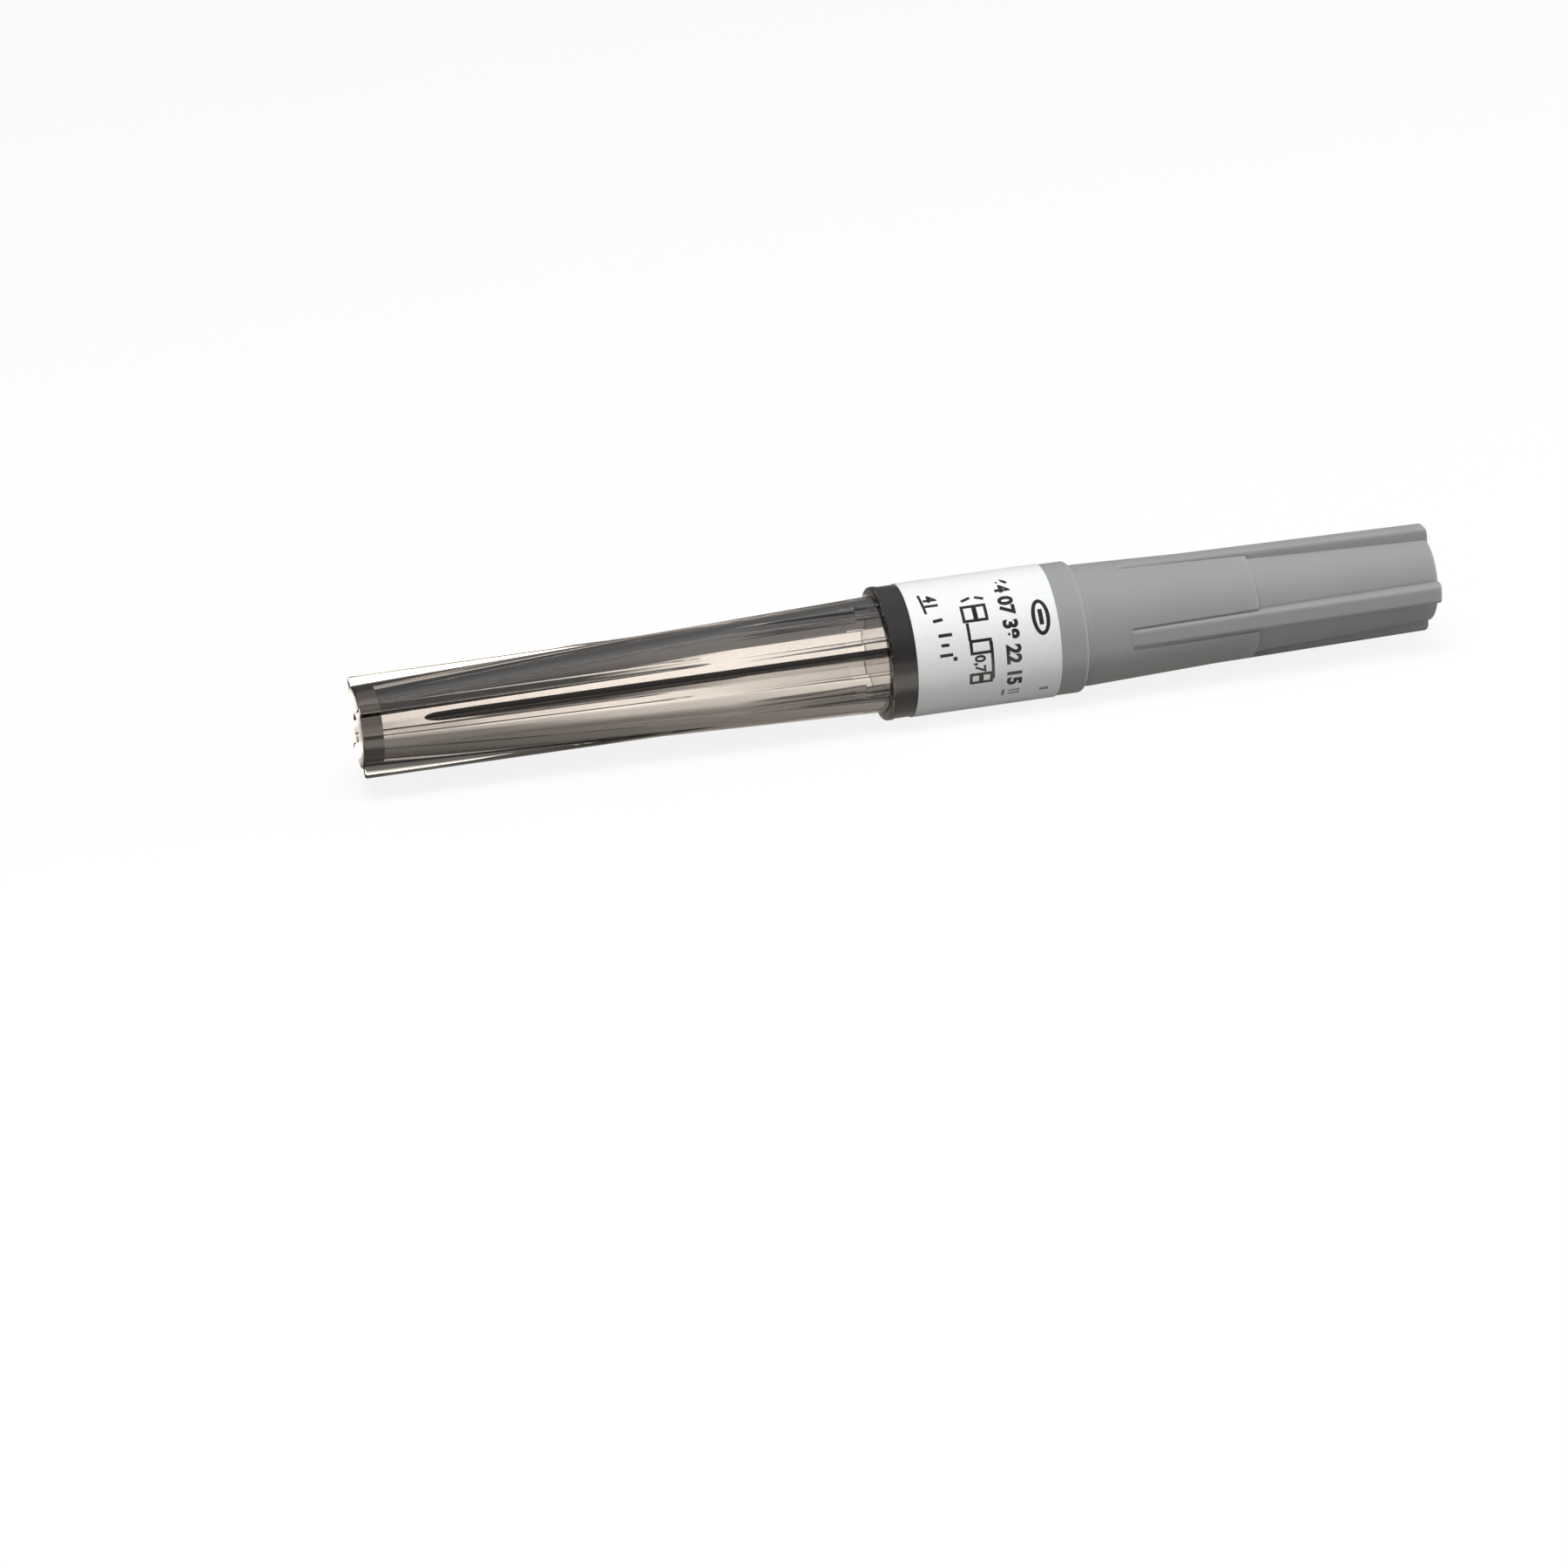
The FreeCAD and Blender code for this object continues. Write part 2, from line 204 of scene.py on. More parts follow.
def greyInk():
    # the same print where it ran thin near the label's edge: pale grey and patchy
    material, tree = newMaterial("greyInk")
    coords = addNode(tree, "ShaderNodeTexCoord")
    wear = addNode(tree, "ShaderNodeTexNoise", {"Scale": 4500.0, "Detail": 3.0},
                   {"Vector": coords.outputs["Object"]})        # patches about 0.2 mm
    colour = addNode(tree, "ShaderNodeMix", {"data_type": "RGBA"}, {"Factor": wear.outputs["Fac"]})
    colour.inputs[6].default_value = linear("6f6f72")
    colour.inputs[7].default_value = linear("a9a9ac")
    shader = addNode(tree, "ShaderNodeBsdfPrincipled", {"Roughness": 0.45, "IOR": 1.5},
                     {"Base Color": colour.outputs[2]})
    addNode(tree, "ShaderNodeOutputMaterial", None, {"Surface": shader.outputs["BSDF"]})
    return material


def naturalPolypropylene():
    # unpigmented polypropylene, moulded: milky translucent with a soft gloss
    material, tree = newMaterial("naturalPolypropylene")
    coords = addNode(tree, "ShaderNodeTexCoord")
    cloud = addNode(tree, "ShaderNodeTexNoise", {"Scale": 500.0, "Detail": 3.0},
                    {"Vector": coords.outputs["Object"]})       # milky clouds about 2 mm
    colour = addNode(tree, "ShaderNodeMix", {"data_type": "RGBA"}, {"Factor": cloud.outputs["Fac"]})
    colour.inputs[6].default_value = linear("d3d6d2")
    colour.inputs[7].default_value = linear("e6e8e4")
    shader = addNode(tree, "ShaderNodeBsdfPrincipled", {
        "Roughness": 0.34, "IOR": 1.49, "Subsurface Weight": 0.35,
        "Subsurface Radius": (1.0, 1.0, 0.9), "Subsurface Scale": 0.0012},
        {"Base Color": colour.outputs[2]})
    addNode(tree, "ShaderNodeOutputMaterial", None, {"Surface": shader.outputs["BSDF"]})
    return material


def curedEpoxy():
    # cured olive-beige epoxy, dispensed as a cone: glossy, with faint clouding
    material, tree = newMaterial("curedEpoxy")
    coords = addNode(tree, "ShaderNodeTexCoord")
    cloud = addNode(tree, "ShaderNodeTexNoise", {"Scale": 900.0, "Detail": 3.0},
                    {"Vector": coords.outputs["Object"]})       # clouding about 1 mm
    colour = addNode(tree, "ShaderNodeMix", {"data_type": "RGBA"}, {"Factor": cloud.outputs["Fac"]})
    colour.inputs[6].default_value = linear("a3a084")
    colour.inputs[7].default_value = linear("b7b49a")
    shader = addNode(tree, "ShaderNodeBsdfPrincipled", {
        "Roughness": 0.2, "IOR": 1.55, "Coat Weight": 0.2, "Coat Roughness": 0.1},
        {"Base Color": colour.outputs[2]})
    addNode(tree, "ShaderNodeOutputMaterial", None, {"Surface": shader.outputs["BSDF"]})
    return material


def drawnStainless():
    # stainless steel tube, cold drawn: fine lines along its length, silicone-oiled gloss; its colour is
    # darkened far below bare steel, painted shade so that it reads dark inside the shield
    material, tree = newMaterial("drawnStainless")
    coords = addNode(tree, "ShaderNodeTexCoord")
    stretch = addNode(tree, "ShaderNodeMapping", {"Scale": (150, 16000, 16000)},
                      {"Vector": coords.outputs["Object"]})
    lines = addNode(tree, "ShaderNodeTexNoise", {"Scale": 1.0, "Detail": 2.0},
                    {"Vector": stretch.outputs["Vector"]})      # draw lines 0.06 mm apart
    # painted shade: steel colours darkened far below bare steel
    colour = addNode(tree, "ShaderNodeMix", {"data_type": "RGBA"}, {"Factor": lines.outputs["Fac"]})
    colour.inputs[6].default_value = linear("4c4844")
    colour.inputs[7].default_value = linear("5f5b56")
    bump = addNode(tree, "ShaderNodeBump", {"Strength": 0.2, "Distance": 0.000003},
                   {"Height": lines.outputs["Fac"]})
    shader = addNode(tree, "ShaderNodeBsdfPrincipled", {"Metallic": 1.0, "Roughness": 0.24}, {
        "Base Color": colour.outputs[2], "Normal": bump.outputs["Normal"]})
    addNode(tree, "ShaderNodeOutputMaterial", None, {"Surface": shader.outputs["BSDF"]})
    return material


def mouldedRubber():
    # dark blue-grey synthetic rubber, dip moulded: soft satin with a dusty bloom
    material, tree = newMaterial("mouldedRubber")
    coords = addNode(tree, "ShaderNodeTexCoord")
    bloom = addNode(tree, "ShaderNodeTexNoise", {"Scale": 1400.0, "Detail": 4.0},
                    {"Vector": coords.outputs["Object"]})       # bloom patches about 0.7 mm
    colour = addNode(tree, "ShaderNodeMix", {"data_type": "RGBA"}, {"Factor": bloom.outputs["Fac"]})
    colour.inputs[6].default_value = linear("3f464e")
    colour.inputs[7].default_value = linear("525a63")
    bump = addNode(tree, "ShaderNodeBump", {"Strength": 0.25, "Distance": 0.00001},
                   {"Height": bloom.outputs["Fac"]})
    shader = addNode(tree, "ShaderNodeBsdfPrincipled", {"Roughness": 0.55, "IOR": 1.52}, {
        "Base Color": colour.outputs[2], "Normal": bump.outputs["Normal"]})
    addNode(tree, "ShaderNodeOutputMaterial", None, {"Surface": shader.outputs["BSDF"]})
    return material


def finishPiece(name, bm, material, sharpAngle=math.radians(28)):
    # welds and smooths a bmesh and makes it a piece that rides with the case
    bmesh.ops.remove_doubles(bm, verts=bm.verts, dist=1e-8)
    bmesh.ops.dissolve_degenerate(bm, edges=bm.edges, dist=1e-9)
    bmesh.ops.recalc_face_normals(bm, faces=bm.faces)
    mesh = bpy.data.meshes.new(name)
    bm.to_mesh(mesh)
    bm.free()
    for face in mesh.polygons:
        face.use_smooth = True
    mesh.set_sharp_from_angle(angle=sharpAngle)
    mesh.materials.append(material)
    piece = bpy.data.objects.new(name, mesh)
    bpy.context.scene.collection.objects.link(piece)
    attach(piece, "root")
    return piece


def wrappedGrid(rows, points):
    # a grid wrapped round the axis: rows[i](j) gives the (station, across, up) of point j
    bm = bmesh.new()
    lastRow = len(rows) - 1
    bmesh.ops.create_grid(bm, x_segments=lastRow, y_segments=points, size=1.0)
    for vert in bm.verts:
        row = round((vert.co.x + 1) / 2 * lastRow)
        point = round((vert.co.y + 1) / 2 * points) % points
        vert.co = place(*rows[row](point))
    return bm


def turnedAcross(angle, side, height):
    # a point given beside and above a fin or rib, turned with it round the axis
    return (side * math.cos(angle) - height * math.sin(angle),
            side * math.sin(angle) + height * math.cos(angle))


def plainRow(station, radius, points):
    def at(point):
        angle = 2 * math.pi * point / points
        return (station, -radius * math.sin(angle), radius * math.cos(angle))
    return at


shield = {
    "tipRadius": 3.1, "rootRadius": 4.4, "collarStation": 39.6, "beadEnd": 40.1,
    "collarRadius": 5.0, "beadRadius": 5.07, "mouthStation": 50.0,
    "finRadius": 3.97, "finWidth": 0.72, "finRoll": 50.0, "edge": 0.18,
    "gateRadius": 1.1, "gateDepth": 0.35,
    "cavityStation": 1.7, "cavityRadius": 1.8, "boreRootRadius": 3.63,
    "counterboreStation": 46.8, "counterboreRadius": 4.3,
    "ribWidth": 1.0, "ribRadius": 3.27, "ribStep": 0.17, "ribStepStation": 38.0,
    "ribEnd": 46.6, "ribRoll": 10.0,
    "arcPoints": 60, "ribArcPoints": 21,
}


def finPoints(width, crown, body, edge):
    # the 15 points round a fin that stands on a body of that radius, as (side, height)
    half = width / 2
    foot = math.sqrt(body ** 2 - half ** 2)
    shoulder = max(crown - edge, foot)
    rise = [(half, foot + (shoulder - foot) * part) for part in (0.0, 0.5)]
    corner = []
    for step in range(4):
        turn = math.radians(30 * step)
        side = half - edge * (1 - math.cos(turn))
        corner.append((side, crown - edge + edge * math.sin(turn)))
    top = [((half - edge) * part, crown) for part in (0.5, 0.0)]
    right = rise + corner + top
    left = [(-side, height) for side, height in reversed(right[:-1])]
    # where the fin has sunk into the body its points lie on the body
    return [(side, max(height, math.sqrt(body ** 2 - side ** 2))) for side, height in right + left]


def finnedRow(station, body, crown, width, edge, roll, arcPoints, count=4, outline=None):
    # a ring round the body with fins, starting at the first fin
    fin = outline or finPoints(width, crown, body, edge)
    perFin = len(fin) + arcPoints
    startAngle = math.atan2(abs(fin[0][0]), fin[0][1])
    spacing = 2 * math.pi / count

    def at(point):
        index, step = divmod(point, perFin)
        middle = math.radians(roll) + spacing * index
        if step < len(fin):
            side, height = fin[step]
            across, up = turnedAcross(middle, side, height)
        else:
            # the arc runs backwards from the fin's left foot to the fin before it
            share = (step - len(fin) + 1) / (arcPoints + 1)
            angle = middle + startAngle + (spacing - 2 * startAngle) * share
            across, up = -body * math.sin(angle), body * math.cos(angle)
        return (station, across, up)
    return at


def shieldOuterRows():
    s = shield
    points = 4 * (15 + s["arcPoints"])

    def radiusAt(station):
        return s["tipRadius"] + (s["rootRadius"] - s["tipRadius"]) * station / s["collarStation"]

    def finned(station, inset=0.0):
        return finnedRow(station, radiusAt(station) - inset, s["finRadius"] - inset,
                         s["finWidth"] - 2 * inset, s["edge"] - inset, s["finRoll"],
                         s["arcPoints"])

    rows = [plainRow(s["gateDepth"], 0.0, points), plainRow(s["gateDepth"], s["gateRadius"], points),
            plainRow(0.0, s["gateRadius"], points)]
    for step in range(4):                       # rounded rim of the tip and its fins
        turn = math.radians(30 * step)
        rows.append(finned(s["edge"] * (1 - math.sin(turn)), s["edge"] * (1 - math.cos(turn)) * 0.9))
    rows[3:] = list(reversed(rows[3:]))
    station = 1.0
    while station < s["collarStation"] - 0.5:
        rows.append(finned(station))
        station += 1.0
    rows.append(finned(s["collarStation"]))
    bead = s["beadRadius"]
    for step in range(4):                       # rounded front edge of the collar's bead
        turn = math.radians(30 * step)
        rows.append(plainRow(s["collarStation"] + s["edge"] * (1 - math.cos(turn)),
                             bead - s["edge"] * (1 - math.sin(turn)), points))
    rows += [plainRow(s["beadEnd"], bead, points), plainRow(s["beadEnd"], s["collarRadius"], points),
             plainRow(s["mouthStation"], s["collarRadius"], points)]
    return rows, points


def ribPoints(bore, face, width):
    # the 9 points round a rib that stands inwards from the bore, as (side, height)
    half = width / 2
    face = min(face, bore)
    foot = math.sqrt(bore ** 2 - half ** 2)
    top = math.sqrt(face ** 2 - half ** 2)
    right = [(half, foot), (half, (foot + top) / 2), (half, top)]
    right += [(half * part, math.sqrt(face ** 2 - (half * part) ** 2)) for part in (0.5, 0.0)]
    return right + [(-side, height) for side, height in reversed(right[:-1])]


def shieldBoreRows():
    s = shield
    ribCount = 10
    points = ribCount * (9 + s["ribArcPoints"])

    def boreAt(station):
        share = (station - s["cavityStation"]) / (s["collarStation"] - s["cavityStation"])
        return s["cavityRadius"] + (s["boreRootRadius"] - s["cavityRadius"]) * share

    def ribbed(station, face):
        return finnedRow(station, boreAt(station), 0, 0, 0, s["ribRoll"], s["ribArcPoints"],
                         ribCount, ribPoints(boreAt(station), face, s["ribWidth"]))

    grip = s["ribRadius"]
    stepped = s["ribRadius"] - s["ribStep"]
    rows = [plainRow(s["mouthStation"], s["counterboreRadius"], points),
            plainRow(s["counterboreStation"], s["counterboreRadius"], points),
            ribbed(s["counterboreStation"], 99), ribbed(s["ribEnd"], 99), ribbed(s["ribEnd"], grip)]
    for station in (45.0, 43.5, 42.0, 40.5, 39.25):
        rows.append(ribbed(station, grip))
    rows += [ribbed(s["ribStepStation"], grip), ribbed(s["ribStepStation"], stepped)]
    station = 37.0
    while station > s["cavityStation"] + 0.5:
        rows.append(ribbed(station, stepped))
        station -= 1.0
    rows += [ribbed(s["cavityStation"], stepped), plainRow(s["cavityStation"], 0.0, points)]
    return rows, points


def makeShield(material):
    outer = wrappedGrid(*shieldOuterRows())
    bore = wrappedGrid(*shieldBoreRows())
    boreMesh = bpy.data.meshes.new("boreMesh")
    bore.to_mesh(boreMesh)
    bore.free()
    outer.from_mesh(boreMesh)
    bpy.data.meshes.remove(boreMesh)
    bmesh.ops.remove_doubles(outer, verts=outer.verts, dist=1e-8)
    mouth = [edge for edge in outer.edges if edge.is_boundary]
    bmesh.ops.bridge_loops(outer, edges=mouth)
    piece = finishPiece("smokyShield", outer, material)
    # the collar's outer faces, which get the painted shade
    onCollar = piece.data.attributes.new("onCollar", "FLOAT", "FACE")
    for face in piece.data.polygons:
        offset = face.center - place(shield["collarStation"], 0, 0)
        outside = math.hypot(offset.y, offset.z) > shield["rootRadius"] * mm
        behind = offset.x > shield["edge"] * mm
        onCollar.data[face.index].value = 1.0 if outside and behind else 0.0
    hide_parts("front_shield")
    print("shield", len(piece.data.polygons), "faces")
    return piece


cap = {
    "collarStation": 50.05, "collarEnd": 54.9, "collarRadius": 5.0, "collarEdge": 0.3,
    "shankFront": 4.65, "shankRear": 4.2, "stepStation": 68.5, "stepEdge": 0.2,
    "tailFront": 3.85, "tailEnd": 3.35, "endStation": 83.0, "endEdge": 0.25,
    "finStation": 58.35, "finWidth": 1.45, "finCrown": 4.556, "finDrop": 0.36, "finEdge": 0.3,
    "grooveWidth": 0.2, "grooveDepth": 0.22, "grooveRamp": 0.16,
    "grooveLean": 0.03, "grooveCorner": 0.02,
    "spigotStation": 46.85, "spigotRadius": 4.27, "boreRadius": 3.82, "chamberStation": 55.9,
    "chamberFront": 2.75, "chamberRear": 2.25, "chamberEnd": 81.3,
    "arcPoints": 61,
}


def capOutline(body, crown, floor, edge):
    # the 27 points round a cap fin and the grooves at its sides, as (side, height)
    half = cap["finWidth"] / 2
    lip = half + cap["grooveWidth"]
    lean, corner = cap["grooveLean"], cap["grooveCorner"]
    lipHeight = math.sqrt(body ** 2 - lip ** 2)
    floor = min(floor, lipHeight)
    shoulder = max(crown - edge, floor)
    right = [(lip, lipHeight), (lip - lean, lipHeight - (lipHeight - floor) * 0.55),
             (lip - 2 * lean, floor), (half + corner, floor), (half, floor + corner / 2)]
    right += [(half, floor + (shoulder - floor) * part) for part in (0.35, 0.7)]
    for step in range(5):
        turn = math.radians(22.5 * step)
        right.append((half - edge * (1 - math.cos(turn)), crown - edge + edge * math.sin(turn)))
    right += [((half - edge) * part, crown) for part in (0.5, 0.0)]
    return right + [(-side, height) for side, height in reversed(right[:-1])]


def makeCap(material):
    c = cap
    points = 4 * (27 + c["arcPoints"])

    def shankAt(station):
        share = (station - c["collarEnd"]) / (c["stepStation"] - c["collarEnd"])
        return c["shankFront"] + (c["shankRear"] - c["shankFront"]) * share

    def tailAt(station):
        share = (station - c["stepStation"]) / (c["endStation"] - c["stepStation"])
        return c["tailFront"] + (c["tailEnd"] - c["tailFront"]) * share

    def crownAt(station):
        share = (station - c["finStation"]) / (c["endStation"] - c["finStation"])
        return c["finCrown"] - c["finDrop"] * share

    def finned(station, body, floor, depth=1.0, lower=0.0):
        crown = crownAt(station) - lower
        outline = capOutline(body, crown, floor, c["finEdge"])
        if depth < 1.0:                         # the groove's end fades up to the plain shank
            outline = [(side, height * depth + math.sqrt(body ** 2 - side ** 2) * (1 - depth))
                       for side, height in outline]
        return finnedRow(station, body, 0, 0, 0, 0.0, c["arcPoints"], 4, outline)

    shankFloor = {"front": shankAt(c["finStation"]) - c["grooveDepth"],
                  "rear": c["shankRear"] - c["grooveDepth"]}

    def shankRow(station, depth=1.0):
        share = (station - c["finStation"]) / (c["stepStation"] - c["finStation"])
        floor = shankFloor["front"] + (shankFloor["rear"] - shankFloor["front"]) * max(share, 0)
        return finned(station, shankAt(station), floor, depth)

    def tailRow(station, inset=0.0, lower=0.0):
        body = tailAt(station) - inset
        return finned(station, body, tailAt(station) - c["grooveDepth"] / 2, 1.0, lower)

    rows = [plainRow(c["collarStation"], c["spigotRadius"], points),
            plainRow(c["collarStation"], c["collarRadius"], points)]
    for step in range(5):                       # rounded rear edge of the collar
        turn = math.radians(22.5 * step)
        rows.append(plainRow(c["collarEnd"] - c["collarEdge"] * (1 - math.sin(turn)),
                             c["collarRadius"] - c["collarEdge"] * (1 - math.cos(turn)), points))
    rows.append(plainRow(c["collarEnd"], c["shankFront"], points))
    for station in (55.6, 56.4, 57.2, 58.0):
        rows.append(shankRow(station, 0.0))
    rows.append(shankRow(c["finStation"], 0.0))
    for part in (0.25, 0.6, 1.0):
        rows.append(shankRow(c["finStation"] + c["grooveRamp"] * part, math.sin(math.pi / 2 * part)))
    station = 59.0
    while station < c["stepStation"] - 0.7:
        rows.append(shankRow(station))
        station += 0.75
    for step in range(4):                       # rounded edge of the step
        turn = math.radians(30 * step)
        station = c["stepStation"] - c["stepEdge"] * (1 - math.sin(turn))
        body = c["shankRear"] - c["stepEdge"] * (1 - math.cos(turn))
        rows.append(finned(station, body, shankFloor["rear"]))
    rows.append(finned(c["stepStation"], c["tailFront"], c["tailFront"] - c["grooveDepth"] / 2))
    station = 69.25
    while station < c["endStation"] - 0.7:
        rows.append(tailRow(station))
        station += 0.75
    for step in range(5):                       # rounded rear end
        turn = math.radians(22.5 * step)
        drop = c["endEdge"] * (1 - math.cos(turn))
        rows.append(tailRow(c["endStation"] - c["endEdge"] * (1 - math.sin(turn)), drop, drop))
    rows.append(plainRow(c["endStation"], 0.0, points))
    bm = wrappedGrid(rows, points)
    inside = [(c["collarStation"], c["spigotRadius"]), (c["spigotStation"], c["spigotRadius"]),
              (c["spigotStation"], c["boreRadius"]), (c["chamberStation"], c["boreRadius"]),
              (c["chamberStation"], c["chamberFront"]), (c["stepStation"], c["chamberFront"]),
              (c["stepStation"], c["chamberRear"]), (c["chamberEnd"], c["chamberRear"]),
              (c["chamberEnd"], 0.0)]
    inner = wrappedGrid([plainRow(x, r, points) for x, r in inside], points)
    innerMesh = bpy.data.meshes.new("innerMesh")
    inner.to_mesh(innerMesh)
    inner.free()
    bm.from_mesh(innerMesh)
    bpy.data.meshes.remove(innerMesh)
    piece = finishPiece("greyCap", bm, material)
    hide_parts("rear_cap")
    print("cap", len(piece.data.polygons), "faces")
    return piece


label = {
    "station": 41.6, "length": 11.1, "inner": 5.0, "outer": 5.074, "gap": 0.07, "gapRoll": 250.0,
    "steps": 240, "inkLift": 0.001, "inkHeight": 0.004,
}


def makeLabel(material, back):
    d = label
    bm = bmesh.new()
    half = d["gap"] / 2 / d["outer"]
    start = math.radians(d["gapRoll"]) + half
    corners = []
    for station, radius in ((d["station"], d["inner"]), (d["station"], d["outer"]),
                            (d["station"] + d["length"], d["outer"]),
                            (d["station"] + d["length"], d["inner"])):
        corners.append(bm.verts.new(place(station, -radius * math.sin(start),
                                          radius * math.cos(start))))
    section = [bm.edges.new((corners[i], corners[(i + 1) % 4])) for i in range(4)]
    bmesh.ops.spin(bm, geom=corners + section, cent=place(0, 0, 0), axis=(1, 0, 0), dvec=(0, 0, 0),
                   angle=2 * (math.pi - half), steps=d["steps"], use_merge=False)
    bmesh.ops.holes_fill(bm, edges=[edge for edge in bm.edges if edge.is_boundary], sides=4)
    piece = finishPiece("paperLabel", bm, material)
    piece.data.materials.append(back)
    for face in piece.data.polygons:
        offset = face.center - place(0, 0, 0)
        if math.hypot(offset.y, offset.z) < (d["inner"] + 0.01) * mm:
            face.material_index = 1
    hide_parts("seal_label")
    return piece


# Plain print: every mark as its station, its place round the label counted up from the line
# that faces the camera, its size along the case and its size round it, in millimetres.
printMarks = {
    "line": 0.23,
    "bars": [(42.75, 3.35, 0.21, 1.9, 0.1), (43.6, 1.75, 0.75, 0.26, 0.1), (43.95, 0.55, 1.05, 0.26, 0),
             (43.85, -0.2, 0.62, 0.24, 0), (43.85, -0.95, 1.0, 0.24, 0), (44.5, -1.3, 0.3, 0.3, 0),
             (46.05, 3.2, 0.75, 0.24, 0.35), (47.1, 3.2, 0.7, 0.24, -0.35),
             (45.75, 0.55, 0.23, 1.35, 0), (47.35, -1.85, 0.23, 3.0, 0), (51.4, 0.95, 0.34, 1.2, 0)],
    "fields": [(46.0, 1.95, 1.1, 1.4), (46.95, 1.95, 1.0, 1.4), (46.55, -0.65, 1.75, 1.15),
               (46.0, -3.15, 0.95, 0.95), (46.85, -3.15, 0.95, 0.95)],
    "digits": [("41", 43.35, 3.4, 1.35, 0.05), ("0,7", 46.35, -1.95, 1.1, 0.04),
               ("64 07 38 22 15", 48.95, 0.35, 1.5, 0.07)],
    "ring": (51.4, 0.95, 1.4, 2.8), "ringLine": 0.3, "ringPoints": 48,
    "faint": [(48.2, -5.0, 0.22, 0.7), (49.05, -4.85, 0.85, 0.18), (49.05, -5.2, 0.85, 0.18),
              (51.4, -5.2, 0.7, 0.35)],
    "cut": 0.25, "reach": 6.0,
}


def inkBar(bm, station, around, along, length, turn=0.0):
    # a flat bar of ink, cut small enough round the label to bend with it
    cuts = max(2, math.ceil(length / printMarks["cut"]))
    made = bmesh.ops.create_grid(bm, x_segments=2, y_segments=cuts, size=0.5)
    centre = Vector((station, around, 0))
    spin = Matrix.Rotation(turn, 4, "Z")
    for vert in made["verts"]:
        vert.co = centre + spin @ Vector((vert.co.x * along, vert.co.y * length, 0))


def inkBox(bm, station, around, along, length, line):
    # the outline of a printed field
    for side in (-1, 1):
        inkBar(bm, station + side * (along - line) / 2, around, line, length)
        inkBar(bm, station, around + side * (length - line) / 2, along - 2 * line, line)


def inkText(bm, words, station, around, size, bold=0.0):
    # plain digits that read down the label, with their heads towards the cap
    curve = bpy.data.curves.new("digits", "FONT")
    curve.body = words
    curve.size = size
    curve.align_x = "CENTER"
    curve.align_y = "CENTER"
    curve.offset = bold
    text = bpy.data.objects.new("digits", curve)
    bpy.context.scene.collection.objects.link(text)
    bpy.context.view_layer.update()
    mesh = bpy.data.meshes.new_from_object(text)
    turned = Matrix.Translation((station, around, 0)) @ Matrix.Rotation(-math.pi / 2, 4, "Z")
    mesh.transform(turned)
    bm.from_mesh(mesh)
    bpy.data.objects.remove(text)
    bpy.data.curves.remove(curve)
    bpy.data.meshes.remove(mesh)


def inkRing(bm, station, around, along, length, line, points):
    # an oval outline
    rings = []
    for inset in (0, line):
        made = bmesh.ops.create_circle(bm, segments=points, radius=1.0)
        for vert in made["verts"]:
            vert.co = Vector((station + vert.co.x * (along / 2 - inset),
                              around + vert.co.y * (length / 2 - inset), 0))
        rings += made["verts"]
    ring = {edge for vert in rings for edge in vert.link_edges}
    bmesh.ops.bridge_loops(bm, edges=list(ring))


def wrapInk(bm, lift):
    # cuts flat ink finely enough to bend, gives it thickness and lays it round the label
    cut = printMarks["cut"]
    steps = round(printMarks["reach"] / cut)
    for step in range(-steps, steps + 1):
        bmesh.ops.bisect_plane(bm, geom=bm.verts[:] + bm.edges[:] + bm.faces[:], dist=1e-5,
                               plane_co=(0, step * cut, 0), plane_no=(0, 1, 0))
    bmesh.ops.recalc_face_normals(bm, faces=bm.faces[:])
    solid = bmesh.ops.extrude_face_region(bm, geom=bm.faces[:], use_keep_orig=True)
    lifted = {item for item in solid["geom"] if isinstance(item, bmesh.types.BMVert)}
    for vert in bm.verts:
        radius = label["outer"] + lift + (label["inkHeight"] if vert in lifted else 0.0)
        angle = vert.co.y / label["outer"] + math.radians(cameraRoll)
        vert.co = place(vert.co.x, -radius * math.cos(angle), radius * math.sin(angle))


def makePrint(name, material, bars, fields=(), digits=(), ring=None):
    bm = bmesh.new()
    for station, around, along, length, *turn in bars:
        inkBar(bm, station, around, along, length, *turn)
    for field in fields:
        inkBox(bm, *field, printMarks["line"])
    for words, station, around, size, bold in digits:
        inkText(bm, words, station, around, size, bold)
    if ring:
        inkRing(bm, *ring, printMarks["ringLine"], printMarks["ringPoints"])
    wrapInk(bm, label["inkLift"])
    piece = finishPiece(name, bm, material)
    print(name, len(piece.data.polygons), "faces")


needle = {
    "tip": 5.0, "end": 71.1, "radius": 0.36, "bore": 0.205, "frontBevel": 3.5, "rearBevel": 1.6,
    "pointRoll": 67.0, "points": 48,
}


def makeNeedle(material):
    d = needle
    points = d["points"]

    def ring(station, radius, bevel):
        # a ground end slopes: its point, towards the front of the case, reaches furthest
        def at(point):
            angle = 2 * math.pi * point / points
            back = 1 - radius / d["radius"] * math.cos(angle - math.radians(d["pointRoll"]))
            return (station + bevel * back / 2, -radius * math.sin(angle),
                    radius * math.cos(angle))
        return at

    rows = [ring(d["tip"], d["bore"], d["frontBevel"]), ring(d["tip"], d["radius"], d["frontBevel"])]
    for station in range(10, 70, 5):
        rows.append(ring(station, d["radius"], 0))
    rows += [ring(d["end"], d["radius"], -d["rearBevel"]), ring(d["end"], d["bore"], -d["rearBevel"])]
    for station in range(65, 5, -5):
        rows.append(ring(station, d["bore"], 0))
    rows.append(rows[0])
    bm = wrappedGrid(rows, points)
    piece = finishPiece("steelNeedle", bm, material)
    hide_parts("cannula")
    return piece


